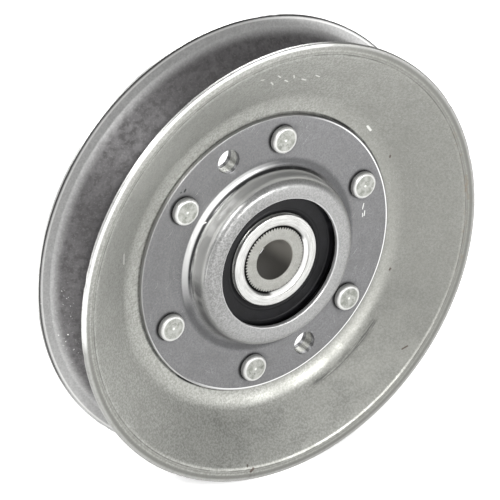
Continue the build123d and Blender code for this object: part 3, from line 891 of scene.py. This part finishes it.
# %% [markdown]
# ## The knurled bush
#
# A straight knurl is rolled round the bush, so it bites when it is pressed into the ring. The roll raises
# sixty-four sharp ridges. Looking in from the front, each valley is a small black notch against the ring,
# blackened with painted shade.

# %%
def bush():
    tip, teeth = 8.48, KNURL_TEETH
    outline = [(5.15, -5.45, 0.08), (tip, -5.45, 0.06), (tip, 5.45, 0.06), (5.15, 5.45, 0.08)]
    bm = spun([(r * MM, y * MM, b * MM) for r, y, b in outline], teeth * 6, 4, 2 * MM)
    for vert in bm.verts:
        radius = math.hypot(vert.co.x, vert.co.z)
        turn = math.atan2(vert.co.z, vert.co.x) * teeth / math.tau
        ridge = abs((turn % 1.0) * 2 - 1)
        limit = (tip - 0.3 * (1 - ridge)) * MM
        if radius > limit:
            vert.co.x *= limit / radius
            vert.co.z *= limit / radius
    as_piece(bm, "knurled_bush", "hub", ["bore_bush"], [BUSH_METAL], 35)


bush()

# %% [markdown]
# ## Pieces that stay as the exact model
#
# The balls, the cage and the washers inside the seals are hidden behind the rubber. They keep their exact
# shapes and take the finishes made above.

# %%
hidden = {f"ball_{k + 1}": BALL_CHROME for k in range(8)}
hidden.update({"cage_front": CAGE_STEEL, "cage_rear": CAGE_STEEL, "cage_rivets": CAGE_STEEL})
hidden.update({"front_seal_insert": INSERT_STEEL, "rear_seal_insert": INSERT_STEEL})
for node, material in hidden.items():
    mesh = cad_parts[node].data
    if not mesh.materials:
        mesh.materials.append(material)
    for k in range(len(mesh.materials)):
        mesh.materials[k] = material
print(len(hidden), "exact pieces finished")

# %% [markdown]
# ## Floor, light and camera
#
# The pulley stands on its rims on a white sweep. A soft light stands low in front, where it fills the wide
# bend of the flange, one hangs beside the camera for the rounded corners, and two behind draw the rim's
# edge and keep the back from going dark. The room itself stays dim, so the steel keeps dark reflections
# beside bright ones.

# %%
def soft_light(name, place, size, power):
    lamp = bpy.data.lights.new(name, "AREA")
    lamp.shape = "DISK"
    lamp.size = size
    lamp.energy = power
    thing = bpy.data.objects.new(name, lamp)
    thing.location = place
    thing.visible_camera = False
    thing.rotation_euler = (-Vector(place)).to_track_quat("-Z", "Y").to_euler()
    bpy.context.scene.collection.objects.link(thing)


floor_bm = bmesh.new()
bmesh.ops.create_grid(floor_bm, x_segments=4, y_segments=4, size=3.0)
bmesh.ops.translate(floor_bm, vec=(0, 0, exact_box[0].z - 0.1 * MM), verts=floor_bm.verts)
floor_mesh = bpy.data.meshes.new("white_sweep")
floor_bm.to_mesh(floor_mesh)
floor_bm.free()
FLOOR = bpy.data.objects.new("white_sweep", floor_mesh)
bpy.context.scene.collection.objects.link(FLOOR)
sweep = Finish("white_paper", 0.0, 0.9)
sweep.tint(sweep.blend(sweep.ramp(sweep.cloud(0.2, 3.0), 0.3, 0.7), tone(250, 250, 250), tone(253, 253, 253)))
sweep.shader.inputs["Emission Color"].default_value = (1, 1, 1, 1)
sweep.shader.inputs["Emission Strength"].default_value = 0.62
floor_mesh.materials.append(sweep.material)

room = bpy.data.worlds.new("pale_room")
room.use_nodes = True
room.node_tree.nodes["Background"].inputs["Color"].default_value = (1, 1, 1, 1)
room.node_tree.nodes["Background"].inputs["Strength"].default_value = 0.14
bpy.context.scene.world = room

soft_light("front_low", (0.25, -0.75, 0.0), 0.12, 3.0)
soft_light("front_left", (-0.35, -0.60, 0.45), 0.15, 4.2)
soft_light("back_left", (-0.40, 0.60, 0.45), 0.30, 1.6)
soft_light("back_right", (0.30, 0.70, 0.40), 0.45, 3.6)
bpy.context.scene.view_settings.view_transform = "Standard"

back = Vector((-0.4976, -0.7315, 0.4663))
right = Vector((0.8268, -0.5625, 0.0))
up = back.cross(right)
lens = bpy.data.cameras.new("camera")
lens.sensor_width = 36
lens.lens = 226.75
lens.clip_start = 0.05
camera = bpy.data.objects.new("camera", lens)
axes = Matrix((right, up, back)).transposed().to_4x4()
camera.matrix_world = Matrix.Translation(back * 0.76215 - right * 0.0029 + up * 0.0002) @ axes
bpy.context.scene.collection.objects.link(camera)
bpy.context.scene.camera = camera
print("camera stands", round(camera.location.length, 3), "m away")
